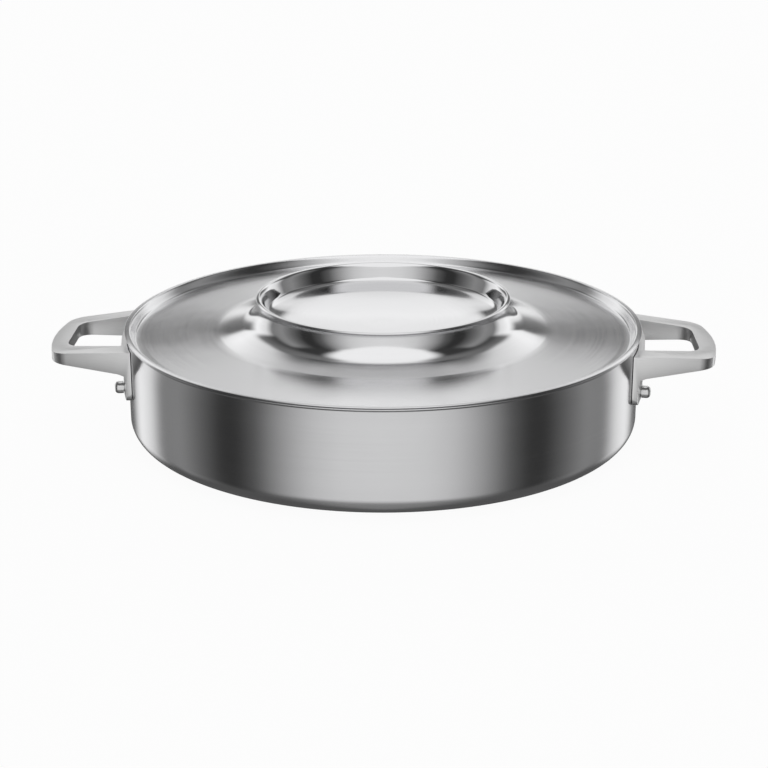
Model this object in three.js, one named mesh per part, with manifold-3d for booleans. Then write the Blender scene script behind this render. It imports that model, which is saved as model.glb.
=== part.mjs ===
// A two-handled stainless steel saute pan, 28 cm across, with a lid that carries a raised grip ring.
// Millimetres, +Z up. The origin is on the pan's axis at the underside of its base, and the
// handles lie along X.
import * as THREE from 'three';
import { mergeVertices } from 'three/addons/utils/BufferGeometryUtils.js';
import Module from 'manifold-3d';

const wasm = await Module();
wasm.setup();

// Driving dimensions
const GAP = 0.3;                 // clearance between neighbouring pieces
const ROUND_STEPS = 60;          // facets round the pan and the lid
const ARC_STEPS = 2;             // steps in a profile's curve, and in half of its arcs
const LID_ARC_STEPS = 3;         // the same in the lid's profiles

const WALL_RADIUS = 141.8;       // outside of the pan's upright wall
const WALL_THICKNESS = 1.4;
const CORNER_RADIUS = 10;        // outside of the turn from wall to floor
const RIM_FLARE = 0.8;           // how far the pouring rim turns out
const RIM_FLARE_HEIGHT = 1.8;
const RIM_TOP = 61.5;

const BASE_RADIUS = 121;         // the layered base under the floor
const CAP_THICKNESS = 0.7;
const CAP_SIDE = 2.4;            // height of the cap's upturned edge
const CAP_TURN = 1.5;
const SPREADER_THICKNESS = 2.1;

const LID_SHEET = 1.0;
const LID_RADIUS = 143.3;
const FLANGE_WIDTH = 2.7;        // the lid's flat outer edge, which rests on the pan's rim
const GUTTER_WIDTH = 3.6;        // the slope from that edge down to the sunken plate
const GUTTER_DEPTH = 4.2;
const GRIP_HEIGHT = 14.8;        // lip of the grip ring above the lid's outer edge
const GRIP_NECK = 69.2;          // outside of the ring just under its lip
const GRIP_FLARE = 14.4;         // radius of the sweep that spreads below the neck
const SKIRT_EDGE = 92;           // where the skirt under that sweep meets the plate
const SKIRT_STEEP = 18 * Math.PI / 180;     // fall of the skirt at its top
const SKIRT_SHALLOW = 12 * Math.PI / 180;   // and at its edge
const LIP_RADIUS = 70.6;
const LIP_HEIGHT = 1.4;
const LIP_CROWN = 69;            // radius of the lip's highest line
const LIP_DROP = 2.4;            // crown to the top of the dish's upright wall
const DISH_WALL_TOP = 66.6;      // inside of the ring at its lip
const DISH_DEPTH = 13.6;         // lip to the level middle of the dish
const DISH_LEVEL = 20;           // radius of that middle
const DISH_EDGE = 51;            // radius at which the floor turns up into the wall
const DISH_RISE = 2.45;          // how far the floor has risen there
const DISH_CORNER = 6;           // size of the turn from floor to wall
const GUTTER_EASE = 1.3;         // length of the gutter's curves at top and foot
const GUTTER_THINNING = 0.35;    // share of the sheet that the gutter's slope shifts its underside

const HANDLE_REACH = 184.4;      // axis to the outer edge of a handle
const HANDLE_TOP = 56.4;         // height of a handle's top where it meets the wall
const HANDLE_FALL = 4.1;         // how much that top falls towards the outer end
const HANDLE_ROOT_HALF = 41.2;   // half width across the legs at the wall
const HANDLE_END_HALF = 33.3;    // and at the outer bar
const LEG_WIDTH = 12;
const BAR_WIDTH = 10.2;
const BAR_CORNER = 179.9;        // axis to the corners between legs and bar
const BAR_PEAK = 187;            // axis to the point from which the bar's bow is drawn
const LEG_BOTTOM = 43.7;         // underside of a leg at the wall
const BAR_BOTTOM = 47.7;         // underside of the outer bar
const PLATE_THICKNESS = 2.7;     // the curved plate that lies against the wall
const PLATE_BOTTOM = 27.7;
const PLATE_CORNER = 6;          // rounding of the plate's lower corners
const ROOT_FILLET = 4;           // leg to plate
const EDGE_ROUND = 0.8;
const OUTER_CORNER = 8;          // rounding of the loop in plan, outside
const BAR_ROUND = 24.6;          // half length of the bar's bow
const HOLE_CORNER = 8;           // rounding of the finger hole at the bar
const HOLE_ROOT_CORNER = 2;      // and at the plate
const HOLE_CLEAR = 0.6;          // least step from the plate's face to the finger hole

const RIVET_HEIGHT = 31.9;
const RIVET_SPACING = 56;        // between a handle's two rivets
const SHANK_RADIUS = 2.5;
const RIVET_HEAD_RADIUS = 3.4;
const RIVET_HEAD_HEIGHT = 4.7;
const RIVET_INNER_RADIUS = 4.2;
const RIVET_INNER_HEIGHT = 1.6;
const RIVET_ROUND = 1;           // rounding of the inner head
const RIVET_DOME = 2.4;          // and of the outer one
const RIVET_STEPS = 16;

// Heights and radii that follow from them
const SPREADER_BOTTOM = CAP_THICKNESS + GAP;
const FLOOR_BOTTOM = SPREADER_BOTTOM + SPREADER_THICKNESS + GAP;
const FLANGE_BOTTOM = RIM_TOP + GAP;
const FLANGE_TOP = FLANGE_BOTTOM + LID_SHEET;
const PLATE_TOP = FLANGE_TOP - GUTTER_DEPTH;
const LIP_TOP = FLANGE_TOP + GRIP_HEIGHT;
const PLATE_INNER = WALL_RADIUS + GAP;
const PLATE_OUTER = PLATE_INNER + PLATE_THICKNESS;
const RIVET_ANGLE = Math.asin(RIVET_SPACING / 2 / PLATE_OUTER);
const CHORD_DIP = WALL_RADIUS * (1 - Math.cos(Math.PI / ROUND_STEPS));

const QUARTER = Math.PI / 2;

// A closed profile, radius by height, turned round the Z axis.
function revolve(profile, steps = ROUND_STEPS, curveSteps = ARC_STEPS) {
  const points = profile.getPoints(curveSteps);
  if (!points[0].equals(points.at(-1))) points.push(points[0].clone());
  return new THREE.LatheGeometry(points, steps).rotateX(QUARTER);
}

// A closed outline in X and Y, extruded along Z between two heights.
function prism(shape, bottom, top) {
  const settings = { depth: top - bottom, bevelEnabled: false, curveSegments: 6 };
  return new THREE.ExtrudeGeometry(shape, settings).translate(0, 0, bottom);
}

// A closed outline in Y and Z, extruded along X between two distances.
function crosswisePrism(shape, near, far) {
  return prism(shape, near, far).rotateX(QUARTER).rotateZ(QUARTER);
}

// An outline through corners [x, y, cut], each corner rounded off from cut before it to cut after it.
function roundedOutline(Outline, corners) {
  const outline = new Outline();
  corners.forEach(([x, y, cut], i) => {
    const corner = new THREE.Vector2(x, y);
    const cutTowards = ([nextX, nextY]) => {
      const next = new THREE.Vector2(nextX, nextY);
      return next.sub(corner).setLength(cut).add(corner);
    };
    const before = cutTowards(corners.at(i - 1));
    const after = cutTowards(corners[(i + 1) % corners.length]);
    if (i === 0) outline.moveTo(before.x, before.y);
    else outline.lineTo(before.x, before.y);
    outline.quadraticCurveTo(x, y, after.x, after.y);
  });
  outline.closePath();
  return outline;
}

// The point at which a line through one point, with its slope, crosses a line through another.
function meeting(first, firstSlope, second, secondSlope) {
  const rise = second.y - first.y + firstSlope * first.x - secondSlope * second.x;
  const x = rise / (firstSlope - secondSlope);
  return new THREE.Vector2(x, first.y + firstSlope * (x - first.x));
}

function solidOf(geometry) {
  const bare = geometry.index ? geometry.toNonIndexed() : geometry.clone();
  bare.deleteAttribute('normal');
  bare.deleteAttribute('uv');
  const merged = mergeVertices(bare, 1e-4);
  return new wasm.Manifold(new wasm.Mesh({
    numProp: 3,
    vertProperties: merged.attributes.position.array,
    triVerts: new Uint32Array(merged.index.array),
  }));
}

function geometryOf(solid) {
  const mesh = solid.getMesh();
  return new THREE.BufferGeometry()
    .setAttribute('position', new THREE.BufferAttribute(mesh.vertProperties, 3))
    .setIndex(new THREE.BufferAttribute(mesh.triVerts, 1));
}

// The clearance holes for a handle's two rivets, through the wall at +X or -X.
function rivetHoles(side) {
  const reach = PLATE_OUTER + RIVET_HEAD_HEIGHT;
  const radius = SHANK_RADIUS + GAP;
  return [-RIVET_ANGLE, RIVET_ANGLE].map((angle) => solidOf(
    new THREE.CylinderGeometry(radius, radius, reach, RIVET_STEPS)
      .rotateZ(-QUARTER)
      .translate(reach / 2, 0, RIVET_HEIGHT)
      .rotateZ(side + angle),
  ));
}

// The drawn vessel: floor, rounded corner, upright wall and a slightly flared pouring rim.
function panBody() {
  const inner = WALL_RADIUS - WALL_THICKNESS;
  const floorTop = FLOOR_BOTTOM + WALL_THICKNESS;
  const cornerHeight = FLOOR_BOTTOM + CORNER_RADIUS;
  const cornerCentre = WALL_RADIUS - CORNER_RADIUS;
  const flareStart = RIM_TOP - RIM_FLARE_HEIGHT;
  const half = WALL_THICKNESS / 2;
  const rimCentre = WALL_RADIUS + RIM_FLARE - half;
  const profile = new THREE.Path();
  profile.moveTo(0, FLOOR_BOTTOM);
  profile.lineTo(cornerCentre, FLOOR_BOTTOM);
  profile.absarc(cornerCentre, cornerHeight, CORNER_RADIUS, -QUARTER, 0, false);
  profile.lineTo(WALL_RADIUS, flareStart);
  profile.quadraticCurveTo(WALL_RADIUS, RIM_TOP - half * 2, rimCentre + half, RIM_TOP - half);
  profile.absarc(rimCentre, RIM_TOP - half, half, 0, Math.PI, false);
  profile.quadraticCurveTo(inner, RIM_TOP - half * 2, inner, flareStart);
  profile.lineTo(inner, cornerHeight);
  profile.absarc(cornerCentre, cornerHeight, CORNER_RADIUS - WALL_THICKNESS, 0, -QUARTER, true);
  profile.lineTo(0, floorTop);
  let body = solidOf(revolve(profile));
  for (const side of [0, Math.PI]) {
    for (const hole of rivetHoles(side)) body = body.subtract(hole);
  }
  return geometryOf(body);
}

// The aluminium disc that spreads the heat under the floor.
function heatSpreader() {
  const radius = BASE_RADIUS - CAP_THICKNESS - GAP;
  const profile = new THREE.Path();
  profile.moveTo(0, SPREADER_BOTTOM);
  profile.lineTo(radius - CAP_TURN, SPREADER_BOTTOM);
  profile.quadraticCurveTo(radius, SPREADER_BOTTOM, radius, SPREADER_BOTTOM + CAP_TURN);
  profile.lineTo(radius, SPREADER_BOTTOM + SPREADER_THICKNESS);
  profile.lineTo(0, SPREADER_BOTTOM + SPREADER_THICKNESS);
  return revolve(profile);
}

// The magnetic steel cap: a shallow tray that closes the spreader in and stands on the hob.
function baseCap() {
  const turn = CAP_TURN + CAP_THICKNESS;
  const inner = BASE_RADIUS - CAP_THICKNESS;
  const profile = new THREE.Path();
  profile.moveTo(0, 0);
  profile.lineTo(BASE_RADIUS - turn, 0);
  profile.quadraticCurveTo(BASE_RADIUS, 0, BASE_RADIUS, turn);
  profile.lineTo(BASE_RADIUS, CAP_SIDE);
  profile.lineTo(inner, CAP_SIDE);
  profile.lineTo(inner, turn);
  profile.quadraticCurveTo(inner, CAP_THICKNESS, BASE_RADIUS - turn, CAP_THICKNESS);
  profile.lineTo(0, CAP_THICKNESS);
  return revolve(profile);
}

// The lid's pressing: flat edge, gutter, sunken plate, a low skirt and the sweep up to the neck.
function lidShell() {
  const gutterTop = LID_RADIUS - FLANGE_WIDTH;
  const gutterFoot = gutterTop - GUTTER_WIDTH;
  const edge = LID_SHEET / 3;
  const turn = GUTTER_EASE;
  const under = LID_SHEET * GUTTER_THINNING;
  const plateUnder = PLATE_TOP - LID_SHEET;
  const flareCentre = GRIP_NECK + GRIP_FLARE;
  const neckTop = LIP_TOP - LIP_HEIGHT - GAP;
  const flareEnd = -QUARTER - SKIRT_STEEP;
  const flareFoot = (radius) => new THREE.Vector2(
    flareCentre + radius * Math.cos(flareEnd),
    neckTop + radius * Math.sin(flareEnd),
  );
  const bend = (top, foot) => meeting(top, -Math.tan(SKIRT_STEEP), foot, -Math.tan(SKIRT_SHALLOW));
  const top = flareFoot(GRIP_FLARE);
  const foot = new THREE.Vector2(SKIRT_EDGE, PLATE_TOP);
  const topUnder = flareFoot(GRIP_FLARE + LID_SHEET);
  const footUnder = new THREE.Vector2(SKIRT_EDGE - LID_SHEET * Math.tan(SKIRT_SHALLOW / 2), plateUnder);
  const outerBend = bend(top, foot);
  const innerBend = bend(topUnder, footUnder);
  const profile = new THREE.Path();
  profile.moveTo(LID_RADIUS - edge, FLANGE_BOTTOM);
  profile.lineTo(LID_RADIUS, FLANGE_BOTTOM + edge);
  profile.lineTo(LID_RADIUS, FLANGE_TOP - edge);
  profile.lineTo(LID_RADIUS - edge, FLANGE_TOP);
  profile.lineTo(gutterTop, FLANGE_TOP);
  profile.bezierCurveTo(gutterTop - turn, FLANGE_TOP, gutterFoot + turn, PLATE_TOP, gutterFoot, PLATE_TOP);
  profile.lineTo(foot.x, foot.y);
  profile.quadraticCurveTo(outerBend.x, outerBend.y, top.x, top.y);
  profile.absarc(flareCentre, neckTop, GRIP_FLARE, flareEnd, -Math.PI, true);
  profile.lineTo(GRIP_NECK - LID_SHEET, neckTop);
  profile.absarc(flareCentre, neckTop, GRIP_FLARE + LID_SHEET, -Math.PI, flareEnd, false);
  profile.quadraticCurveTo(innerBend.x, innerBend.y, footUnder.x, footUnder.y);
  profile.lineTo(gutterFoot + under, plateUnder);
  profile.bezierCurveTo(
    gutterFoot + under + turn, plateUnder,
    gutterTop + under - turn, FLANGE_BOTTOM,
    gutterTop + under, FLANGE_BOTTOM,
  );
  profile.closePath();
  return revolve(profile, ROUND_STEPS, LID_ARC_STEPS);
}

// The dish that closes the ring: a crowned lip over the neck, a wall and a floor sunk like a bowl.
function lidDish() {
  const half = LIP_HEIGHT / 2;
  const lipBottom = LIP_TOP - LIP_HEIGHT;
  const outerWall = GRIP_NECK - LID_SHEET - GAP;
  const floor = LIP_TOP - DISH_DEPTH;
  const floorUnder = floor - LID_SHEET;
  const bend = (DISH_LEVEL + DISH_EDGE) / 2;
  const cornerRise = DISH_RISE * DISH_CORNER / (DISH_EDGE - bend);
  const corner = DISH_EDGE + DISH_CORNER;
  const wallTop = LIP_TOP - LIP_DROP;
  const wallFoot = wallTop - DISH_CORNER;
  const profile = new THREE.Path();
  profile.moveTo(0, floorUnder);
  profile.lineTo(DISH_LEVEL, floorUnder);
  profile.quadraticCurveTo(bend, floorUnder, DISH_EDGE, floorUnder + DISH_RISE);
  profile.bezierCurveTo(
    corner, floorUnder + DISH_RISE + cornerRise,
    outerWall, wallFoot,
    outerWall, wallTop,
  );
  profile.lineTo(outerWall, lipBottom);
  profile.lineTo(LIP_RADIUS - half, lipBottom);
  profile.quadraticCurveTo(LIP_RADIUS, lipBottom, LIP_RADIUS, lipBottom + half);
  profile.quadraticCurveTo(LIP_RADIUS, LIP_TOP, LIP_CROWN, LIP_TOP);
  profile.quadraticCurveTo(DISH_WALL_TOP, LIP_TOP, DISH_WALL_TOP, wallTop);
  profile.bezierCurveTo(
    DISH_WALL_TOP, wallFoot,
    corner, floor + DISH_RISE + cornerRise,
    DISH_EDGE, floor + DISH_RISE,
  );
  profile.quadraticCurveTo(bend, floor, DISH_LEVEL, floor);
  profile.lineTo(0, floor);
  return revolve(profile, ROUND_STEPS, LID_ARC_STEPS);
}

// A cast loop handle: two legs that draw together, an outer bar and a plate curved to the wall.
function handle() {
  const outerTop = HANDLE_TOP - HANDLE_FALL;
  const side = new THREE.Path();
  side.moveTo(PLATE_INNER, PLATE_BOTTOM);
  side.lineTo(PLATE_OUTER - EDGE_ROUND, PLATE_BOTTOM);
  side.quadraticCurveTo(PLATE_OUTER, PLATE_BOTTOM, PLATE_OUTER, PLATE_BOTTOM + EDGE_ROUND);
  side.lineTo(PLATE_OUTER, LEG_BOTTOM - ROOT_FILLET);
  side.quadraticCurveTo(PLATE_OUTER, LEG_BOTTOM, PLATE_OUTER + ROOT_FILLET, LEG_BOTTOM);
  side.lineTo(BAR_PEAK, BAR_BOTTOM);
  side.lineTo(BAR_PEAK, outerTop);
  side.lineTo(PLATE_INNER, HANDLE_TOP);
  side.closePath();

  const inside = PLATE_INNER - HANDLE_ROOT_HALF / 2;
  const spread = (HANDLE_ROOT_HALF - HANDLE_END_HALF) / (BAR_CORNER - PLATE_INNER);
  const halfAt = (x) => HANDLE_ROOT_HALF + spread * (PLATE_INNER - x);
  const plan = roundedOutline(THREE.Shape, [
    [inside, -halfAt(inside), EDGE_ROUND],
    [BAR_CORNER, -HANDLE_END_HALF, OUTER_CORNER],
    [BAR_PEAK, 0, BAR_ROUND],
    [BAR_CORNER, HANDLE_END_HALF, OUTER_CORNER],
    [inside, halfAt(inside), EDGE_ROUND],
  ]);

  const holeEnd = HANDLE_REACH - BAR_WIDTH;
  const holeRoot = HANDLE_ROOT_HALF - LEG_WIDTH;
  const holeTip = HANDLE_END_HALF - LEG_WIDTH;
  const holeStart = PLATE_OUTER + HOLE_CLEAR;
  const rootDip = holeStart - Math.sqrt(holeStart ** 2 - holeRoot ** 2);
  plan.holes.push(roundedOutline(THREE.Path, [
    [holeStart - rootDip, -holeRoot, HOLE_ROOT_CORNER],
    [holeEnd, -holeTip, HOLE_CORNER],
    [holeEnd, holeTip, HOLE_CORNER],
    [holeStart - rootDip, holeRoot, HOLE_ROOT_CORNER],
    [holeStart + rootDip / 3, 0, holeRoot / 2],
  ]));

  const plateHalf = halfAt(Math.sqrt(PLATE_INNER ** 2 - HANDLE_ROOT_HALF ** 2));
  const elevation = roundedOutline(THREE.Shape, [
    [-plateHalf, PLATE_BOTTOM, PLATE_CORNER],
    [plateHalf, PLATE_BOTTOM, PLATE_CORNER],
    [plateHalf, LIP_TOP, PLATE_CORNER],
    [-plateHalf, LIP_TOP, PLATE_CORNER],
  ]);
  let body = solidOf(revolve(side, 2 * ROUND_STEPS))
    .intersect(solidOf(prism(plan, 0, LIP_TOP)))
    .intersect(solidOf(crosswisePrism(elevation, inside, BAR_PEAK)));
  for (const hole of rivetHoles(0)) body = body.subtract(hole);
  return geometryOf(body);
}

// A solid rivet along X: flat head inside the pan, shank through wall and plate, domed head outside.
function rivet() {
  const wallInside = WALL_RADIUS - WALL_THICKNESS - CHORD_DIP;
  const innerBase = wallInside - GAP;
  const innerTop = innerBase - RIVET_INNER_HEIGHT;
  const outerBase = PLATE_OUTER + GAP;
  const outerTop = outerBase + RIVET_HEAD_HEIGHT;
  const profile = new THREE.Path();
  profile.moveTo(0, innerTop);
  profile.lineTo(RIVET_INNER_RADIUS - RIVET_ROUND, innerTop);
  profile.quadraticCurveTo(RIVET_INNER_RADIUS, innerTop, RIVET_INNER_RADIUS, innerTop + RIVET_ROUND);
  profile.lineTo(RIVET_INNER_RADIUS, innerBase);
  profile.lineTo(SHANK_RADIUS, innerBase);
  profile.lineTo(SHANK_RADIUS, outerBase);
  profile.lineTo(RIVET_HEAD_RADIUS, outerBase);
  profile.lineTo(RIVET_HEAD_RADIUS, outerTop - RIVET_DOME);
  profile.quadraticCurveTo(RIVET_HEAD_RADIUS, outerTop, RIVET_HEAD_RADIUS - RIVET_DOME, outerTop);
  profile.lineTo(0, outerTop);
  return revolve(profile, RIVET_STEPS).rotateY(QUARTER);
}

function steel(color, roughness) {
  return new THREE.MeshStandardMaterial({ color, roughness, metalness: 1 });
}

function piece(name, geometry, material) {
  const mesh = new THREE.Mesh(geometry, material);
  mesh.name = name;
  return mesh;
}

const pan = new THREE.Group();
pan.add(piece('pan_body', panBody(), steel(0xc6c7c9, 0.28)));
pan.add(piece('heat_spreader', heatSpreader(), steel(0xd2d3d5, 0.5)));
pan.add(piece('base_cap', baseCap(), steel(0xb9babc, 0.35)));

for (const [sideName, turn] of [['left', Math.PI], ['right', 0]]) {
  const side = new THREE.Group();
  side.rotation.z = turn;
  side.add(piece(`handle_${sideName}`, handle(), steel(0xbdbec0, 0.36)));
  const nearEnd = turn === 0 ? -1 : 1;
  for (const [endName, end] of [['front', nearEnd], ['rear', -nearEnd]]) {
    const fixing = piece(`rivet_${sideName}_${endName}`, rivet(), steel(0xcfd0d2, 0.25));
    fixing.position.z = RIVET_HEIGHT;
    fixing.rotation.z = end * RIVET_ANGLE;
    side.add(fixing);
  }
  pan.add(side);
}

const lid = new THREE.Group();
lid.add(piece('lid_shell', lidShell(), steel(0xc8c9cb, 0.22)));
lid.add(piece('lid_dish', lidDish(), steel(0xcecfd1, 0.2)));

const lidded = new THREE.Group();
lidded.add(pan, lid);
export default lidded;
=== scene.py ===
# %% [markdown]
# # A two-handled saute pan with its lid
# The pan is drawn from one sheet of stainless steel, two cast loop handles are riveted to its wall,
# and a loose lid rests on the rim. Nearly everything on it is round and nearly everything is metal,
# so the lesson has two themes: turning clean profiles, and giving steel something worth reflecting.

# %% Load the frame
import math

import bmesh
import bpy
import numpy as np
from mathutils import Matrix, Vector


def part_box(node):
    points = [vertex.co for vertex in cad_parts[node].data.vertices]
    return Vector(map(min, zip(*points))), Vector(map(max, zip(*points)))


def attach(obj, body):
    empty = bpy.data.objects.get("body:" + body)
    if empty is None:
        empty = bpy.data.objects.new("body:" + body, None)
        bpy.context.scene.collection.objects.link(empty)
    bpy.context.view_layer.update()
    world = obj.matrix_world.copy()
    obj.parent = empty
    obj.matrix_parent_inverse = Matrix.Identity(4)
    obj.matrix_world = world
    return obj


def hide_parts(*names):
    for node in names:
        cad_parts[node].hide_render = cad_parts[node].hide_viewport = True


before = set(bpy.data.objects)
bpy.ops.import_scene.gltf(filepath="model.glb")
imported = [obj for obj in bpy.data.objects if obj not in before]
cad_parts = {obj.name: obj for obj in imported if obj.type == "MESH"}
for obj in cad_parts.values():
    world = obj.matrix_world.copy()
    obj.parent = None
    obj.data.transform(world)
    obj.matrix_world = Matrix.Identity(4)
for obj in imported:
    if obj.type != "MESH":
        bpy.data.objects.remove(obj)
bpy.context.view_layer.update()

MM = 0.001
print("CAD nodes:", ", ".join(sorted(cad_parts)))

# %% [markdown]
# ## The camera
# The photograph looks down on the lid at about nineteen degrees from about a metre away, which is
# close enough for the near rim to spread a little wider than the far one. Lens, height and tilt were
# fitted together to the outlines of the rim, the bottom edge and both handles. The camera stands a
# degree and a half to the right of straight in front, so the right handle is a little nearer.

# %% Place the camera
CAMERA_DISTANCE = 1000 * MM
CAMERA_HEIGHT = 370.9 * MM
CAMERA_TILT = math.radians(19.06)
CAMERA_TURN = math.radians(1.57)
CAMERA_SIDE = 0.45 * MM
FOCAL_LENGTH = 87.85
SENSOR_WIDTH = 36

scene = bpy.context.scene
scene.view_settings.view_transform = "Standard"
camera_data = bpy.data.cameras.new("photo_camera")
camera_data.sensor_width = SENSOR_WIDTH
camera_data.lens = FOCAL_LENGTH
camera = bpy.data.objects.new("photo_camera", camera_data)
camera.location = (
    CAMERA_DISTANCE * math.sin(CAMERA_TURN) + CAMERA_SIDE,
    -CAMERA_DISTANCE * math.cos(CAMERA_TURN),
    CAMERA_HEIGHT,
)
camera.rotation_euler = (math.pi / 2 - CAMERA_TILT, 0, CAMERA_TURN)
scene.collection.objects.link(camera)
scene.camera = camera
print("camera stands at", [round(value, 3) for value in camera.location])

# %% [markdown]
# ## Small helpers for node trees
# Shader trees get long when every node takes three lines. These helpers keep them readable: one fills
# a node's inputs, linking an input when it is given a socket, one makes a node and fills it, and one
# does sums.

# %% Node helpers
def fill_inputs(tree, node, inputs):
    for key, value in inputs.items():
        if isinstance(value, bpy.types.NodeSocket):
            tree.links.new(value, node.inputs[key])
        else:
            node.inputs[key].default_value = value


def add_node(tree, kind, inputs=None, **settings):
    made = tree.nodes.new(kind)
    for name, value in settings.items():
        setattr(made, name, value)
    fill_inputs(tree, made, inputs or {})
    return made


def add_math(tree, operation, *values):
    return add_node(tree, "ShaderNodeMath", dict(enumerate(values)), operation=operation).outputs[0]


print("node helpers are ready")

# %% [markdown]
# ## The studio
# Steel has almost no colour of its own: what we see is the room. In the photograph the wall is
# bright in front, has a dark upright stripe on each side and is bright again at its edges, and the
# grip ring repeats that. So the room is a white one with dark panels to the left and right. It is
# painted on the world, where no lamp or panel has to be hidden from the camera. Three angles find a
# spot in it: the compass direction, counted from the camera to either side, the height above the
# horizon, and how far a direction leans sideways.

# %% Angles in the room
world = bpy.data.worlds.new("white_room")
scene.world = world
world.use_nodes = True
room = world.node_tree
looking = add_node(room, "ShaderNodeTexCoord").outputs["Generated"]
camera_turn = {"Vector": looking, "Angle": -CAMERA_TURN}
facing = add_node(room, "ShaderNodeVectorRotate", camera_turn, rotation_type="Z_AXIS").outputs[0]
ray = add_node(room, "ShaderNodeSeparateXYZ", {0: facing}).outputs
towards_camera = add_math(room, "MULTIPLY", ray["Y"], -1.0)
compass = add_math(room, "ABSOLUTE", add_math(room, "ARCTAN2", ray["X"], towards_camera))
direction = add_math(room, "DEGREES", compass)
height = add_math(room, "DEGREES", add_math(room, "ARCSINE", ray["Z"]))
lean = add_math(room, "ARCSINE", add_math(room, "ABSOLUTE", ray["X"]))
sideways = add_math(room, "DEGREES", lean)
print("the room has its angles")

# %% [markdown]
# Three brushes paint the room. A ramp gives the brightness along one angle, a soft step runs from
# nothing to all across a zone, and a blend lays one brightness over another by such a step. A ramp
# holds colours up to one only, so brightness is divided by its peak on the way in and multiplied by
# it on the way out.

# %% Brushes
PEAK = 1.5
RAMP_MIDDLE = 0.5


def painted(angle, full, stops):
    """Brightness along an angle, from stops of (degrees, brightness)."""
    share = add_math(room, "DIVIDE", angle, float(full))
    ramp = add_node(room, "ShaderNodeValToRGB", {"Fac": share})
    ramp.color_ramp.interpolation = "LINEAR"
    elements = ramp.color_ramp.elements
    while len(elements) < len(stops):
        elements.new(RAMP_MIDDLE)
    for element, (degrees, level) in zip(elements, stops):
        element.position = degrees / full
        element.color = (level / PEAK, level / PEAK, level / PEAK, 1)
    return add_math(room, "MULTIPLY", ramp.outputs["Color"], PEAK)


def eased(value, zone):
    """A soft step from 0 to 1 across a zone of (start, end)."""
    step = {"Value": value, "From Min": zone[0], "From Max": zone[1]}
    return add_node(room, "ShaderNodeMapRange", step, interpolation_type="SMOOTHSTEP").outputs[0]


def left_over(share):
    return add_math(room, "SUBTRACT", 1.0, share)


def both(first, second):
    return add_math(room, "MULTIPLY", first, second)


def blended(share, first, second):
    values = {"Factor": share, "A": first, "B": second}
    return add_node(room, "ShaderNodeMix", values, data_type="FLOAT").outputs[0]


print("the brushes reach a brightness of", PEAK)

# %% [markdown]
# The front and sides come first. Near the horizon the room fades from white in front to a dark panel
# at about seventy degrees and on to bright boxes behind the pan's sides. Higher up the dark panels
# reach further round, and above them lies a pale ceiling.

# %% Front and sides
NEAR_HORIZON = [
    (0, 0.95), (18, 0.91), (30, 0.79), (39, 0.59), (48, 0.36), (57, 0.13), (67, 0.04), (76, 0.04),
    (88, 0.16), (102, 0.33), (116, 0.26), (126, 1.0), (140, 1.25), (180, 1.1),
]
HIGH_UP = [(0, 1.1), (40, 1.0), (54, 0.2), (64, 0.05), (115, 0.05), (140, 0.2), (180, 0.2)]
SIDE_PANEL_FOOT = (22.0, 30.0)
SIDE_PANEL_START = (108.0, 120.0)
HIGH_START = (44.0, 52.0)
CEILING_START = (64.0, 76.0)
CEILING = 0.95

high_up = painted(direction, full=180, stops=HIGH_UP)
side_panels = both(eased(height, SIDE_PANEL_FOOT), eased(direction, SIDE_PANEL_START))
brightness = painted(direction, full=180, stops=NEAR_HORIZON)
brightness = blended(side_panels, brightness, high_up)
brightness = blended(eased(height, HIGH_START), brightness, high_up)
brightness = blended(eased(height, CEILING_START), brightness, CEILING)
print("the front and the sides are painted")

# %% [markdown]
# The lid's plate lies nearly level, so it mirrors a low strip of the room behind it. It is a very
# flat cone: its front looks a little higher than its back, and its sides look a little to the left
# and right. A dark band that ends about nineteen degrees high, left out in the very middle, makes the
# plate grey at the sides and bright in front and behind. High up and to the sides, the dark panels
# stay.

# %% Room behind the pan
BEHIND_FAR = [
    (0, 1.0), (5, 0.9), (9, 0.4), (12, 0.25), (17.8, 0.15), (18.9, 0.25), (19.6, 0.8), (20.3, 1.2),
    (24, 1.25), (32, 1.0), (46, 0.62), (62, 0.85), (90, 1.2),
]
BEHIND = [
    (0, 1.0), (10, 1.05), (12.6, 1.0), (13.4, 0.5), (14.8, 0.3), (16.2, 0.19), (17.8, 0.13), (18.9, 0.2),
    (19.6, 0.55), (20.3, 0.84), (24, 1.05), (32, 1.0), (46, 0.62), (62, 0.85), (90, 1.2),
]
BEHIND_MIDDLE = [(0, 0.95), (16, 1.1), (20, 1.2), (30, 1.15), (46, 0.62), (62, 0.85), (90, 1.2)]
FAR_END = (167.5, 170.5)
MIDDLE_START = (175.5, 177.5)
REAR_START = (140.0, 155.0)
HORIZON = (-4.0, 4.0)
FLANK_FOOT = (36.0, 44.0)
FLANK_START = (7.0, 13.0)

rear_far = painted(height, full=90, stops=BEHIND_FAR)
rear_sides = painted(height, full=90, stops=BEHIND)
rear_middle = painted(height, full=90, stops=BEHIND_MIDDLE)
rear_room = blended(eased(direction, FAR_END), rear_far, rear_sides)
rear_room = blended(eased(direction, MIDDLE_START), rear_room, rear_middle)
flanks = both(eased(height, FLANK_FOOT), eased(sideways, FLANK_START))
rear_share = both(eased(direction, REAR_START), eased(height, HORIZON))
brightness = blended(both(rear_share, left_over(flanks)), brightness, rear_room)
print("the room behind is painted")

# %% [markdown]
# A soft lamp overhead, leaning towards the camera, makes the bright oval at the front of the grip. It
# is an ellipse on a flat ceiling: dividing the ray's level parts by its upward part says where it
# meets that ceiling.

# %% Overhead softbox
SOFTBOX_LEAN = 0.65
SOFTBOX_STRETCH = 0.52
SOFTBOX_REACH = 0.57
SOFTBOX_EDGE = 0.08
SOFTBOX_LEVEL = 1.22
LEAST_RISE = 0.05

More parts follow.
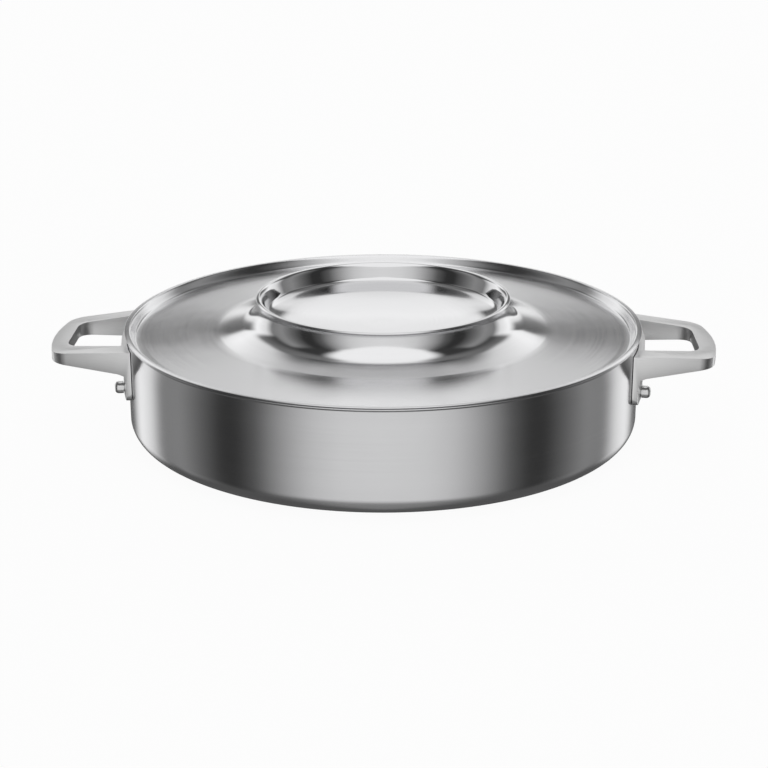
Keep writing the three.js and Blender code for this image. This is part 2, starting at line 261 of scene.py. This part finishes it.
upward = add_math(room, "MAXIMUM", ray["Z"], LEAST_RISE)
box_x = add_math(room, "DIVIDE", ray["X"], upward)
box_y = add_math(room, "ADD", add_math(room, "DIVIDE", ray["Y"], upward), SOFTBOX_LEAN)
box_y = add_math(room, "MULTIPLY", box_y, SOFTBOX_STRETCH)
box_spot = add_node(room, "ShaderNodeCombineXYZ", {"X": box_x, "Y": box_y}).outputs[0]
box_distance = add_node(room, "ShaderNodeVectorMath", {0: box_spot}, operation="LENGTH").outputs["Value"]
box_border = (SOFTBOX_REACH - SOFTBOX_EDGE, SOFTBOX_REACH + SOFTBOX_EDGE)
brightness = blended(left_over(eased(box_distance, box_border)), brightness, SOFTBOX_LEVEL)
print("the softbox hangs")

# %% [markdown]
# Below the horizon the room darkens, soonest behind and latest in front, which gives the rounded
# corner under the wall its dark edge. The camera itself sees plain white.

# %% Ground
REAR_SHADE_START = (138.0, 155.0)
REAR_SHADE_END = (-12.0, -4.0)
SIDE_SHADE_START = (100.0, 120.0)
SIDE_SHADE_END = (-36.0, -21.0)
SHADE_END = (-44.0, -29.0)
GROUND_FRONT = 0.27
GROUND_SIDES = 0.11
GROUND_TURN = (20.0, 70.0)

rear_shade = both(eased(direction, REAR_SHADE_START), left_over(eased(height, REAR_SHADE_END)))
side_shade = both(eased(direction, SIDE_SHADE_START), left_over(eased(height, SIDE_SHADE_END)))
shade = add_math(room, "MAXIMUM", rear_shade, left_over(eased(height, SHADE_END)))
shade = add_math(room, "MAXIMUM", shade, side_shade)
ground = blended(eased(direction, GROUND_TURN), GROUND_FRONT, GROUND_SIDES)
brightness = blended(shade, brightness, ground)
light_path = add_node(room, "ShaderNodeLightPath").outputs
plain_rays = add_math(room, "MAXIMUM", light_path["Is Camera Ray"], light_path["Is Transmission Ray"])
room.links.new(blended(plain_rays, brightness, 1.0), room.nodes["Background"].inputs["Color"])
print("the room is painted")

# %% [markdown]
# The floor is a plain pale sheet that runs out of the picture. For the camera it is lifted nearly to
# white, as in the photograph, and it still darkens under the pan. It is left out of the steel's
# reflections, where the painted room goes on below the horizon instead.

# %% Floor
FLOOR_HALF = 30.0
FLOOR_GREY = 0.9
FLOOR_ROUGHNESS = 0.9
FLOOR_LIFT = 0.95

floor_mesh = bpy.data.meshes.new("floor")
floor_corners = [(x * FLOOR_HALF, y * FLOOR_HALF, 0) for x, y in ((-1, -1), (1, -1), (1, 1), (-1, 1))]
floor_mesh.from_pydata(floor_corners, [], [(0, 1, 2, 3)])
floor = bpy.data.objects.new("floor", floor_mesh)
scene.collection.objects.link(floor)
floor.visible_glossy = False
floor.visible_shadow = False
pale = bpy.data.materials.new("pale_floor")
pale.use_nodes = True
pale_tree = pale.node_tree
pale_shader = pale_tree.nodes["Principled BSDF"]
pale_shader.inputs["Base Color"].default_value = (FLOOR_GREY, FLOOR_GREY, FLOOR_GREY, 1)
pale_shader.inputs["Roughness"].default_value = FLOOR_ROUGHNESS
pale_shader.inputs["Specular IOR Level"].default_value = 0.0
white = add_node(pale_tree, "ShaderNodeEmission", {"Color": (1, 1, 1, 1), "Strength": 1.0})
camera_ray = add_node(pale_tree, "ShaderNodeLightPath").outputs["Is Camera Ray"]
lift = add_math(pale_tree, "MULTIPLY", camera_ray, FLOOR_LIFT)
mixed = {0: lift, 1: pale_shader.outputs[0], 2: white.outputs[0]}
surface = add_node(pale_tree, "ShaderNodeMixShader", mixed).outputs[0]
pale_tree.links.new(surface, pale_tree.nodes["Material Output"].inputs["Surface"])
floor_mesh.materials.append(pale)
print("the floor is laid")

# %% [markdown]
# ## Finishes shared by several pieces
# A finish that several metals share is a node group with named sockets, so that it is made once and
# each metal only says how fine or how strong it is. One helper starts an empty group and one uses it.

# %% Group helpers
VECTOR = "NodeSocketVector"
VALUE = "NodeSocketFloat"


def new_group(name, inputs, outputs):
    group = bpy.data.node_groups.new(name, "ShaderNodeTree")
    for socket_name, socket_kind in inputs:
        group.interface.new_socket(socket_name, in_out="INPUT", socket_type=socket_kind)
    for socket_name, socket_kind in outputs:
        group.interface.new_socket(socket_name, in_out="OUTPUT", socket_type=socket_kind)
    entry = group.nodes.new("NodeGroupInput")
    leave = group.nodes.new("NodeGroupOutput")
    return group, entry.outputs, leave.inputs


def use_group(tree, group, inputs):
    made = tree.nodes.new("ShaderNodeGroup")
    made.node_tree = group
    fill_inputs(tree, made, inputs)
    return made.outputs


print("group helpers are ready")

# %% [markdown]
# Sheet steel is polished while it spins, which leaves very fine lines that run round the axis. One
# group makes them for the wall, the lid, the dish and the base. It measures how far a point is from
# the axis and how high it is, stretches those numbers until one line is about a millimetre wide, and
# reads noise there. A little drift keeps the lines from being perfect circles.

# %% Turned grain
GRAIN_DETAIL = 3.0

turned_grain, given, result = new_group(
    "turned_grain",
    [("Position", VECTOR), ("Lines", VALUE), ("Drift", VALUE)],
    [("Grain", VALUE)],
)
place = add_node(turned_grain, "ShaderNodeSeparateXYZ", {0: given["Position"]}).outputs
flat = add_node(turned_grain, "ShaderNodeCombineXYZ", {"X": place["X"], "Y": place["Y"]}).outputs[0]
from_axis = add_node(turned_grain, "ShaderNodeVectorMath", {0: flat}, operation="LENGTH").outputs["Value"]
drift_x = add_math(turned_grain, "MULTIPLY", place["X"], given["Drift"])
drift_y = add_math(turned_grain, "MULTIPLY", place["Y"], given["Drift"])
stretched = {
    "X": add_math(turned_grain, "MULTIPLY_ADD", from_axis, given["Lines"], drift_x),
    "Y": add_math(turned_grain, "MULTIPLY_ADD", place["Z"], given["Lines"], drift_y),
    "Z": add_math(turned_grain, "SUBTRACT", drift_x, drift_y),
}
grain_spot = add_node(turned_grain, "ShaderNodeCombineXYZ", stretched).outputs[0]
fine_noise = {"Vector": grain_spot, "Scale": 1.0, "Detail": GRAIN_DETAIL}
grain_lines = add_node(turned_grain, "ShaderNodeTexNoise", fine_noise).outputs[0]
turned_grain.links.new(grain_lines, result["Grain"])
print("finish group:", turned_grain.name)

# %% [markdown]
# A second group gives the broad, cloudy unevenness that any handled steel has. It is soft noise whose
# middle values are spread out, so that hazy patches lie between clear ones.

# %% Handled haze
HAZE_DETAIL = 4.0
HAZE_BREAKUP = 0.6
HAZE_CLEAR = 0.35
HAZE_FULL = 0.7

handled_haze, given, result = new_group(
    "handled_haze",
    [("Position", VECTOR), ("Patches", VALUE)],
    [("Haze", VALUE)],
)
soft_noise = {
    "Vector": given["Position"],
    "Scale": given["Patches"],
    "Detail": HAZE_DETAIL,
    "Roughness": HAZE_BREAKUP,
}
cloud = add_node(handled_haze, "ShaderNodeTexNoise", soft_noise).outputs[0]
spread = {"Value": cloud, "From Min": HAZE_CLEAR, "From Max": HAZE_FULL}
patches = add_node(handled_haze, "ShaderNodeMapRange", spread, interpolation_type="SMOOTHSTEP").outputs[0]
handled_haze.links.new(patches, result["Haze"])
print("finish group:", handled_haze.name)

# %% [markdown]
# ## Steel made from those groups
# Each steel starts from the same recipe: one grey for the metal, a roughness that the grain and the
# haze push up and down by a few hundredths, and a bump so shallow that it only breaks up highlights.
# Three functions hold what all the metals share: the empty metal, a value that the grain moves about
# its middle, and the bump.

# %% Plain metal
def plain_metal(name):
    """A new metal, its tree, its shader and the position that its finish is read from."""
    material = bpy.data.materials.new(name)
    material.use_nodes = True
    tree = material.node_tree
    shader = tree.nodes["Principled BSDF"]
    shader.inputs["Metallic"].default_value = 1.0
    position = add_node(tree, "ShaderNodeTexCoord").outputs["Object"]
    return material, tree, shader, position


def varied(tree, grain, middle, swing):
    return add_math(tree, "MULTIPLY_ADD", grain, swing, middle - swing / 2)


def grained_bump(tree, shader, grain, depth):
    bump = add_node(tree, "ShaderNodeBump", {"Height": grain, "Strength": 1.0, "Distance": depth * MM})
    tree.links.new(bump.outputs[0], shader.inputs["Normal"])


print("the plain metal is ready")

# %% [markdown]
# Where the lines run round the axis, the shader's own anisotropy spreads highlights across them, which
# is what draws those tall soft stripes on the wall. The lid is polished at the grip and satin further
# out, so its roughness also grows with the distance from the axis.

# %% Turned steel
TURNED_SWING = 0.05
TURNED_HAZE = 0.03
TURNED_PATCHES = 22.0
COOL_TINT = 1.012
GRAIN_TURN = 0.25
LEVEL_ONLY = (1, 1, 0)
SATIN_START = 84
SATIN_END = 93
SATIN_EXTRA = 0.07


def satin_outside(tree, position, start, end):
    """How far a point lies into the zone between two distances from the axis, in millimetres."""
    level = {0: position, 1: LEVEL_ONLY}
    across = add_node(tree, "ShaderNodeVectorMath", level, operation="MULTIPLY").outputs[0]
    distance = add_node(tree, "ShaderNodeVectorMath", {0: across}, operation="LENGTH").outputs["Value"]
    zone = {"Value": distance, "From Min": start * MM, "From Max": end * MM}
    return add_node(tree, "ShaderNodeMapRange", zone, interpolation_type="SMOOTHSTEP").outputs[0]


def turned_steel(name, grey, roughness, lines, drift, depth, anisotropy=0.0, satin=None):
    material, tree, shader, position = plain_metal(name)
    grain = use_group(tree, turned_grain, {"Position": position, "Lines": lines, "Drift": drift})["Grain"]
    haze = use_group(tree, handled_haze, {"Position": position, "Patches": TURNED_PATCHES})["Haze"]
    uneven = varied(tree, grain, roughness, TURNED_SWING)
    if satin:
        start, end, extra = satin
        uneven = add_math(tree, "MULTIPLY_ADD", satin_outside(tree, position, start, end), extra, uneven)
    uneven = add_math(tree, "MULTIPLY_ADD", haze, TURNED_HAZE, uneven)
    tree.links.new(uneven, shader.inputs["Roughness"])
    tint = varied(tree, grain, grey, TURNED_SWING)
    cool = add_math(tree, "MULTIPLY", tint, COOL_TINT)
    colour = add_node(tree, "ShaderNodeCombineColor", {0: tint, 1: tint, 2: cool}).outputs[0]
    tree.links.new(colour, shader.inputs["Base Color"])
    grained_bump(tree, shader, grain, depth)
    shader.inputs["Anisotropic"].default_value = anisotropy
    shader.inputs["Anisotropic Rotation"].default_value = GRAIN_TURN
    if anisotropy:
        around = add_node(tree, "ShaderNodeTangent", direction_type="RADIAL", axis="Z")
        tree.links.new(around.outputs[0], shader.inputs["Tangent"])
    return material


pan_steel = turned_steel(
    "pan_steel", grey=0.64, roughness=0.20, lines=1500, drift=6, depth=0.0006, anisotropy=0.7
)
lid_steel = turned_steel(
    "lid_steel",
    grey=0.68,
    roughness=0.10,
    lines=1300,
    drift=10,
    depth=0.0004,
    anisotropy=0.85,
    satin=(SATIN_START, SATIN_END, SATIN_EXTRA),
)
dish_steel = turned_steel("dish_steel", grey=0.66, roughness=0.06, lines=1300, drift=10, depth=0.0)
base_steel = turned_steel("base_steel", grey=0.58, roughness=0.32, lines=700, drift=6, depth=0.008)
print("turned steels are mixed")

# %% [markdown]
# The handles are cast, tumbled to a satin skin and then linished along their length, so their grain
# is straight. The same haze sits on top. The rivets are headed from wire and stay smoother, and the
# spreader is soft rolled aluminium that no one sees.

# %% Straight grained metal
STRAIGHT_SWING = 0.12
STRAIGHT_TINT = 0.08
STRAIGHT_HAZE = 0.05
STRAIGHT_PATCHES = 40.0


def straight_metal(name, grey, roughness, cells, depth):
    """A metal whose grain is noise with a cell count per metre along X, Y and Z."""
    material, tree, shader, position = plain_metal(name)
    scaled = {0: position, 1: cells}
    spot = add_node(tree, "ShaderNodeVectorMath", scaled, operation="MULTIPLY").outputs[0]
    noise = {"Vector": spot, "Scale": 1.0, "Detail": GRAIN_DETAIL}
    grain = add_node(tree, "ShaderNodeTexNoise", noise).outputs[0]
    haze = use_group(tree, handled_haze, {"Position": position, "Patches": STRAIGHT_PATCHES})["Haze"]
    uneven = varied(tree, grain, roughness, STRAIGHT_SWING)
    uneven = add_math(tree, "MULTIPLY_ADD", haze, STRAIGHT_HAZE, uneven)
    tree.links.new(uneven, shader.inputs["Roughness"])
    tint = varied(tree, grain, grey, STRAIGHT_TINT)
    colour = add_node(tree, "ShaderNodeCombineColor", {0: tint, 1: tint, 2: tint}).outputs[0]
    tree.links.new(colour, shader.inputs["Base Color"])
    grained_bump(tree, shader, grain, depth)
    return material


handle_steel = straight_metal(
    "handle_steel", grey=0.70, roughness=0.30, cells=(60, 700, 1500), depth=0.006
)
rivet_steel = straight_metal(
    "rivet_steel", grey=0.66, roughness=0.22, cells=(900, 900, 900), depth=0.003
)
spreader_aluminium = straight_metal(
    "spreader_aluminium", grey=0.80, roughness=0.45, cells=(90, 1200, 1200), depth=0.006
)
print("straight grained metals are mixed")

# %% [markdown]
# ## Turning a profile
# A turned piece is a closed outline, radius by height, swept round the axis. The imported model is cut
# into flat facets, which would break every reflection, so each turned piece is made again from an
# outline with close steps. Arcs and Bezier curves draw the round stretches of that outline.

# %% Drawing tools
def arc(centre, radius, start, end, steps=8):
    turns = np.radians(np.linspace(start, end, steps + 1))
    return [(centre[0] + radius * math.cos(t), centre[1] + radius * math.sin(t)) for t in turns]


def curve(*controls, steps=12):
    """A Bezier curve from its first control point to its last."""
    points = []
    for t in np.linspace(0, 1, steps + 1):
        level = [np.array(control, float) for control in controls]
        while len(level) > 1:
            level = [a + (b - a) * t for a, b in zip(level, level[1:])]
        points.append(tuple(level[0]))
    return points


def straight(start, end, steps):
    return curve(start, end, steps=steps)


print("a plain arc has", len(arc((0, 0), 1, 0, 90)), "points")

# %% [markdown]
# The turning makes one ring of vertices for each point of the outline and fills the strips between
# them. Points on the axis become one vertex, and an edge that bends sharply stays crisp when the
# surface is shaded smooth.

# %% Turning tools
ROUND_STEPS = 192
SAME_POINT = 1e-4
ON_AXIS = 1e-6
CREASE = math.radians(35)


def finished_mesh(name, shape):
    mesh = bpy.data.meshes.new(name)
    shape.to_mesh(mesh)
    shape.free()
    for face in mesh.polygons:
        face.use_smooth = True
    mesh.set_sharp_from_angle(angle=CREASE)
    return mesh


def distinct_points(outline):
    points = [outline[0]]
    for point in outline[1:]:
        if math.dist(point, points[-1]) > SAME_POINT:
            points.append(point)
    if math.dist(points[0], points[-1]) < SAME_POINT:
        points.pop()
    return points


def turned_ring(shape, radius, level, steps):
    if radius < ON_AXIS:
        return [shape.verts.new((0, 0, level * MM))] * steps
    ring = []
    for step in range(steps):
        turn = 2 * math.pi * step / steps
        corner = (radius * MM * math.cos(turn), radius * MM * math.sin(turn), level * MM)
        ring.append(shape.verts.new(corner))
    return ring


def turned_mesh(name, outline, steps=ROUND_STEPS):
    """A closed outline of (radius, height) in millimetres turned round Z."""
    shape = bmesh.new()
    rings = [turned_ring(shape, radius, level, steps) for radius, level in distinct_points(outline)]
    for lower, upper in zip(rings, rings[1:] + rings[:1]):
        if lower[0] is lower[1] and upper[0] is upper[1]:
            continue
        for step in range(steps):
            after = (step + 1) % steps
            corners = [lower[step], lower[after], upper[after], upper[step]]
            shape.faces.new(list(dict.fromkeys(corners)))
    bmesh.ops.recalc_face_normals(shape, faces=shape.faces)
    return finished_mesh(name, shape)


print("a turned ring has", ROUND_STEPS, "vertices")

# %% [markdown]
# A finished piece takes its material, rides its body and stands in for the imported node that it
# repeats. Sizes that can be read from the frame are read from it, so the fine surface lies where the
# packed one is.

# %% Placing tools
def place_piece(name, mesh, material, body, slot, *replaced):
    """Puts a piece in the scene on its body, in place of the nodes that it stands for."""
    mesh.materials.append(material)
    piece = bpy.data.objects.new(name, mesh)
    scene.collection.objects.link(piece)
    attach(piece, body)
    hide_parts(*replaced)
    print(f"{name}: {len(mesh.polygons)} faces")


def top_of(node):
    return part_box(node)[1].z / MM


def bottom_of(node):
    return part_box(node)[0].z / MM


def reach_of(node):
    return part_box(node)[1].x / MM


print("the pan's rim is", round(top_of("pan_body"), 1), "mm high")

# %% [markdown]
# ## The pan
# The vessel is one sheet, 1.4 mm thick: a flat floor, a rounded corner, an upright wall and a rim
# that turns out by about a millimetre to pour cleanly. The outline runs along the outside, over the
# rim and back along the inside.

# %% Vessel
SHEET = 1.4
PAN_CORNER = 10.0
FLARE = 0.8
FLARE_HEIGHT = 1.8

rim_top = top_of("pan_body")
floor_under = bottom_of("pan_body")
wall = reach_of("pan_body") - FLARE
inside = wall - SHEET
rim_round = SHEET / 2
rim = (wall + FLARE - rim_round, rim_top - rim_round)
corner_centre = (wall - PAN_CORNER, floor_under + PAN_CORNER)
flare_start = rim_top - FLARE_HEIGHT
vessel = straight((0, floor_under), (corner_centre[0], floor_under), steps=4)
vessel += arc(corner_centre, PAN_CORNER, -90, 0, steps=14)
vessel += straight((wall, corner_centre[1]), (wall, flare_start), steps=6)
vessel += curve((wall, flare_start), (wall, rim_top - SHEET), (rim[0] + rim_round, rim[1]))
vessel += arc(rim, rim_round, 0, 180)
vessel += curve((rim[0] - rim_round, rim[1]), (inside, rim_top - SHEET), (inside, flare_start))
vessel += straight((inside, flare_start), (inside, corner_centre[1]), steps=6)
vessel += arc(corner_centre, PAN_CORNER - SHEET, 0, -90, steps=14)
vessel += straight((corner_centre[0], floor_under + SHEET), (0, floor_under + SHEET), steps=4)
vessel_mesh = turned_mesh("fine_pan_body", vessel)
place_piece("fine_pan_body", vessel_mesh, pan_steel, "pan", "pan_steel", "pan_body")

# %% [markdown]
# The base is a tray of magnetic steel with a rounded edge, pressed over the aluminium spreader. Little
# of it shows, and nothing of the spreader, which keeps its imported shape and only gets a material.

# %% Base
CAP = 0.7
CAP_TURN = 1.5

cap_radius = reach_of("base_cap")
cap_top = top_of("base_cap")
cap_round = CAP_TURN + CAP
cap_inside = cap_radius - CAP
cap_flat = cap_radius - cap_round
tray = straight((0, 0), (cap_flat, 0), steps=4)
tray += curve((cap_flat, 0), (cap_radius, 0), (cap_radius, cap_round), steps=8)
tray += [(cap_radius, cap_top), (cap_inside, cap_top)]
tray += curve((cap_inside, cap_round), (cap_inside, CAP), (cap_flat, CAP), steps=8)
tray += [(0, CAP)]
tray_mesh = turned_mesh("fine_base_cap", tray)
place_piece("fine_base_cap", tray_mesh, base_steel, "pan", "base_steel", "base_cap")
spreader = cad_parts["heat_spreader"].data
spreader.materials.clear()
spreader.materials.append(spreader_aluminium)

# %% [markdown]
# ## The lid
# The lid's edge lies flat on the rim and drops through a narrow gutter to a sunken plate. The plate
# rises towards the grip by about two degrees, too little to see as a slope, but enough to fan its
# reflections into light and dark sectors.

# %% Lid levels
CLEARANCE = 0.3
LID_SHEET = 1.0
FLANGE = 2.7
GUTTER = 3.6
GUTTER_DEPTH = 4.8
PLATE_SLOPE = math.radians(2.1)
SKIRT_EDGE = 92.0

lid_edge = reach_of("lid_shell")
flange_under = rim_top + CLEARANCE
flange_top = flange_under + LID_SHEET
plate = flange_top - GUTTER_DEPTH
gutter_top = lid_edge - FLANGE
gutter_foot = gutter_top - GUTTER
rise = math.tan(PLATE_SLOPE)
foot = (SKIRT_EDGE, plate + (gutter_foot - SKIRT_EDGE) * rise)
print("the plate climbs from", round(plate, 1), "to", round(foot[1], 1), "mm")

# %% [markdown]
# The plate turns up into a short skirt, eleven degrees steep where it starts and eighteen where it
# ends, and the skirt sweeps up into the ring that serves as the grip. That sweep is the lid's
# character: it leaves the skirt without a kink and ends upright under the lip. The inner face of the
# sheet is the same line moved along its own normals.

# %% Grip sweep
NECK = 69.4
SWEEP_RADIUS = 13.5
SKIRT_STEEP = math.radians(18.0)
SKIRT_SHALLOW = math.radians(11.0)

neck_top = top_of("lid_shell")
sweep_centre = (NECK + SWEEP_RADIUS, neck_top)
sweep_line = arc(sweep_centre, SWEEP_RADIUS, 270 - math.degrees(SKIRT_STEEP), 180, steps=40)
sweep_foot = sweep_line[0]
steep = math.tan(SKIRT_STEEP)
shallow = math.tan(SKIRT_SHALLOW)
bend_radius = (sweep_foot[1] - foot[1] + steep * sweep_foot[0] - shallow * foot[0]) / (steep - shallow)
bend = (bend_radius, foot[1] + shallow * (foot[0] - bend_radius))


def sweep(offset):
    """The grip's side from the plate up to the neck, moved into the sheet by an offset."""
    points = np.array(curve(foot, bend, sweep_foot, steps=24)[:-1] + sweep_line)
    along = np.gradient(points, axis=0)
    inward = np.stack([-along[:, 1], along[:, 0]], axis=1)
    inward /= np.linalg.norm(inward, axis=1)[:, None]
    return [tuple(point) for point in points + offset * inward]


print("the skirt bends", round(bend_radius, 1), "mm from the axis")

# %% [markdown]
# The pressing's outline starts under the flange, runs over its crowned edge and through the gutter to
# the plate, climbs the grip and comes back underneath.

# %% Lid pressing
FLANGE_CROWN = 0.25
GUTTER_EASE = 1.3
GUTTER_SHIFT = 0.35 * LID_SHEET

edge_round = LID_SHEET / 2
edge_middle = lid_edge - edge_round
edge_height = flange_under + edge_round
crown_top = flange_top - FLANGE_CROWN
under_foot = gutter_foot + GUTTER_SHIFT
under_top = gutter_top + GUTTER_SHIFT
plate_under = plate - LID_SHEET
pressing = [(edge_middle, flange_under)]
pressing += arc((edge_middle, edge_height), edge_round, -90, 0)
pressing += curve((lid_edge, edge_height), (lid_edge, crown_top), (edge_middle, crown_top), steps=8)
pressing += curve((edge_middle, crown_top), (lid_edge - FLANGE / 2, flange_top), (gutter_top, flange_top))
pressing += curve(
    (gutter_top, flange_top),
    (gutter_top - GUTTER_EASE, flange_top),
    (gutter_foot + GUTTER_EASE, plate - GUTTER_EASE * rise),
    (gutter_foot, plate),
)
pressing += straight((gutter_foot, plate), foot, steps=10)
pressing += sweep(0)
pressing += sweep(LID_SHEET)[::-1]
pressing += straight((foot[0], foot[1] - LID_SHEET), (under_foot, plate_under), steps=10)
pressing += curve(
    (under_foot, plate_under),
    (under_foot + GUTTER_EASE, plate_under),
    (under_top - GUTTER_EASE, flange_under),
    (under_top, flange_under),
)
lid_mesh = turned_mesh("fine_lid_shell", pressing)
place_piece("fine_lid_shell", lid_mesh, lid_steel, "lid", "lid_steel", "lid_shell")

# %% [markdown]
# A separate dish closes the ring. Its lip is rolled over the neck, its wall slopes inwards on the way
# down, and a small rounded corner leads into a floor that is hollow like a shallow bowl. The back of
# the wall mirrors the front of the room, bright in the middle with a dark patch on either side, and
# its slope was read from that.

# %% Dish levels
LIP_DROP = 2.4
DISH_WALL = 66.6
WALL_LEAN = math.tan(math.radians(22.0))
FLOOR_DEPTH = 15.8
FLOOR_LEVEL = 6.0
FLOOR_EDGE = 52.0
FLOOR_RISE = 0.00178

lip_top = top_of("lid_dish")
wall_top = lip_top - LIP_DROP


def dish_floor(radius):
    return lip_top - FLOOR_DEPTH + FLOOR_RISE * max(0.0, radius - FLOOR_LEVEL) ** 2


rim_of_floor = dish_floor(FLOOR_EDGE)
floor_slope = 2 * FLOOR_RISE * (FLOOR_EDGE - FLOOR_LEVEL)
wall_foot = DISH_WALL - (wall_top - rim_of_floor - floor_slope * (DISH_WALL - FLOOR_EDGE)) * WALL_LEAN
foot_height = rim_of_floor + floor_slope * (wall_foot - FLOOR_EDGE)
print("the dish's wall meets its floor", round(lip_top - foot_height, 1), "mm below the lip")

# %% [markdown]
# The dish's outline runs out along the underside, over the lip and back along the top. Its side is
# one function, used for both faces of the sheet.

# %% Dish
LIP = 1.4
LIP_CROWN = 69.0
DISH_CORNER = 2.0
FLOOR_POINTS = 40

dish_lip = reach_of("lid_dish")
lip_under = lip_top - LIP
lip_round = LIP / 2
lip_middle = lip_under + lip_round
lip_turn = (DISH_WALL + LIP_DROP * WALL_LEAN, lip_top)
outer_wall = NECK - LID_SHEET - CLEARANCE


def dish_side(out, down):
    """The rising edge of the floor, the rounded corner and the sloping wall, moved by the sheet."""
    edge = (FLOOR_EDGE, rim_of_floor - down)
    corner = (wall_foot + out, foot_height - down + out * floor_slope)
    corner_end = (corner[0] + DISH_CORNER * WALL_LEAN, corner[1] + DISH_CORNER)
    wall_end = (DISH_WALL + out, wall_top)
    return curve(edge, corner, corner_end, steps=24) + straight(corner_end, wall_end, steps=6)


floor_line = [(radius, dish_floor(radius)) for radius in np.linspace(0, FLOOR_EDGE, FLOOR_POINTS)]
dish = [(radius, level - LID_SHEET) for radius, level in floor_line]
dish += dish_side(LID_SHEET, LID_SHEET)
dish += [(outer_wall, lip_under)]
dish += arc((dish_lip - lip_round, lip_middle), lip_round, -90, 0)
dish += curve((dish_lip, lip_middle), (dish_lip, lip_top), (LIP_CROWN, lip_top), steps=8)
dish += curve((LIP_CROWN, lip_top), lip_turn, (DISH_WALL, wall_top), steps=12)
dish += dish_side(0, 0)[::-1]
dish += floor_line[::-1]
dish_mesh = turned_mesh("fine_lid_dish", dish)
place_piece("fine_lid_dish", dish_mesh, dish_steel, "lid", "dish_steel", "lid_dish")

# %% [markdown]
# ## The handles
# Each handle is one casting: two legs that draw together, a bar across their ends and a plate curved
# to the wall, with each leg's flat side running down into the plate's edge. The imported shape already
# has those faces, but its edges are knife sharp. A copy has its flat facets joined, its sharp edges
# picked out by the angle between their faces, and those edges rounded with a bevel, as tumbling
# rounds the real casting.

# %% Handles
SOFT_EDGE = 0.9
SOFT_STEPS = 3
ROUND_PROFILE = 0.5
WELD = 0.005
FLAT_ANGLE = math.radians(0.6)
SHARP_ANGLE = math.radians(40)


def soft_casting(name, node):
    shape = bmesh.new()
    shape.from_mesh(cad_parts[node].data)
    bmesh.ops.remove_doubles(shape, verts=shape.verts, dist=WELD * MM)
    bmesh.ops.dissolve_limit(shape, angle_limit=FLAT_ANGLE, verts=shape.verts, edges=shape.edges)
    edges = [edge for edge in shape.edges if edge.is_manifold]
    sharp = [edge for edge in edges if edge.calc_face_angle() > SHARP_ANGLE]
    bmesh.ops.bevel(
        shape,
        geom=sharp,
        offset=SOFT_EDGE * MM,
        segments=SOFT_STEPS,
        profile=ROUND_PROFILE,
        affect="EDGES",
        clamp_overlap=True,
    )
    bmesh.ops.recalc_face_normals(shape, faces=shape.faces)
    return finished_mesh(name, shape)


for side_name in ("left", "right"):
    node = f"handle_{side_name}"
    name = f"fine_{node}"
    place_piece(name, soft_casting(name, node), handle_steel, "pan", "handle_steel", node)

# %% [markdown]
# ## The rivets
# Two solid rivets hold each handle: a broad, low head inside the pan and a tall, rounded stub outside.
# A rivet is turned upright like the other round pieces, laid on its side, lifted to its height and
# swung round to the place where the frame has it.

# %% Rivets
PLATE_OUT = 144.8
SHANK = 2.5
HEAD = 3.4
HEAD_HEIGHT = 4.7
HEAD_DOME = 2.4
INNER_HEAD = 4.2
INNER_HEIGHT = 1.6
INNER_ROUND = 1.0
INNER_GAP = 0.5
RIVET_STEPS = 32
RIVET_HEIGHT = 31.9

inner_base = inside - INNER_GAP
inner_top = inner_base - INNER_HEIGHT
inner_flat = INNER_HEAD - INNER_ROUND
outer_base = PLATE_OUT + CLEARANCE
outer_top = outer_base + HEAD_HEIGHT
rivet = [(0, inner_top)]
rivet += curve((inner_flat, inner_top), (INNER_HEAD, inner_top), (INNER_HEAD, inner_base), steps=6)
rivet += [(SHANK, inner_base), (SHANK, outer_base), (HEAD, outer_base)]
rivet += curve((HEAD, outer_top - HEAD_DOME), (HEAD, outer_top), (HEAD - HEAD_DOME, outer_top), steps=8)
rivet += [(0, outer_top)]
lying = Matrix.Rotation(math.pi / 2, 4, "Y")
raised = Matrix.Translation((0, 0, RIVET_HEIGHT * MM))

for node in sorted(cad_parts):
    if not node.startswith("rivet_"):
        continue
    low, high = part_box(node)
    around = math.atan2((low.y + high.y) / 2, (low.x + high.x) / 2)
    name = f"fine_{node}"
    rivet_mesh = turned_mesh(name, rivet, RIVET_STEPS)
    rivet_mesh.transform(Matrix.Rotation(around, 4, "Z") @ raised @ lying)
    place_piece(name, rivet_mesh, rivet_steel, "pan", "rivet_steel", node)
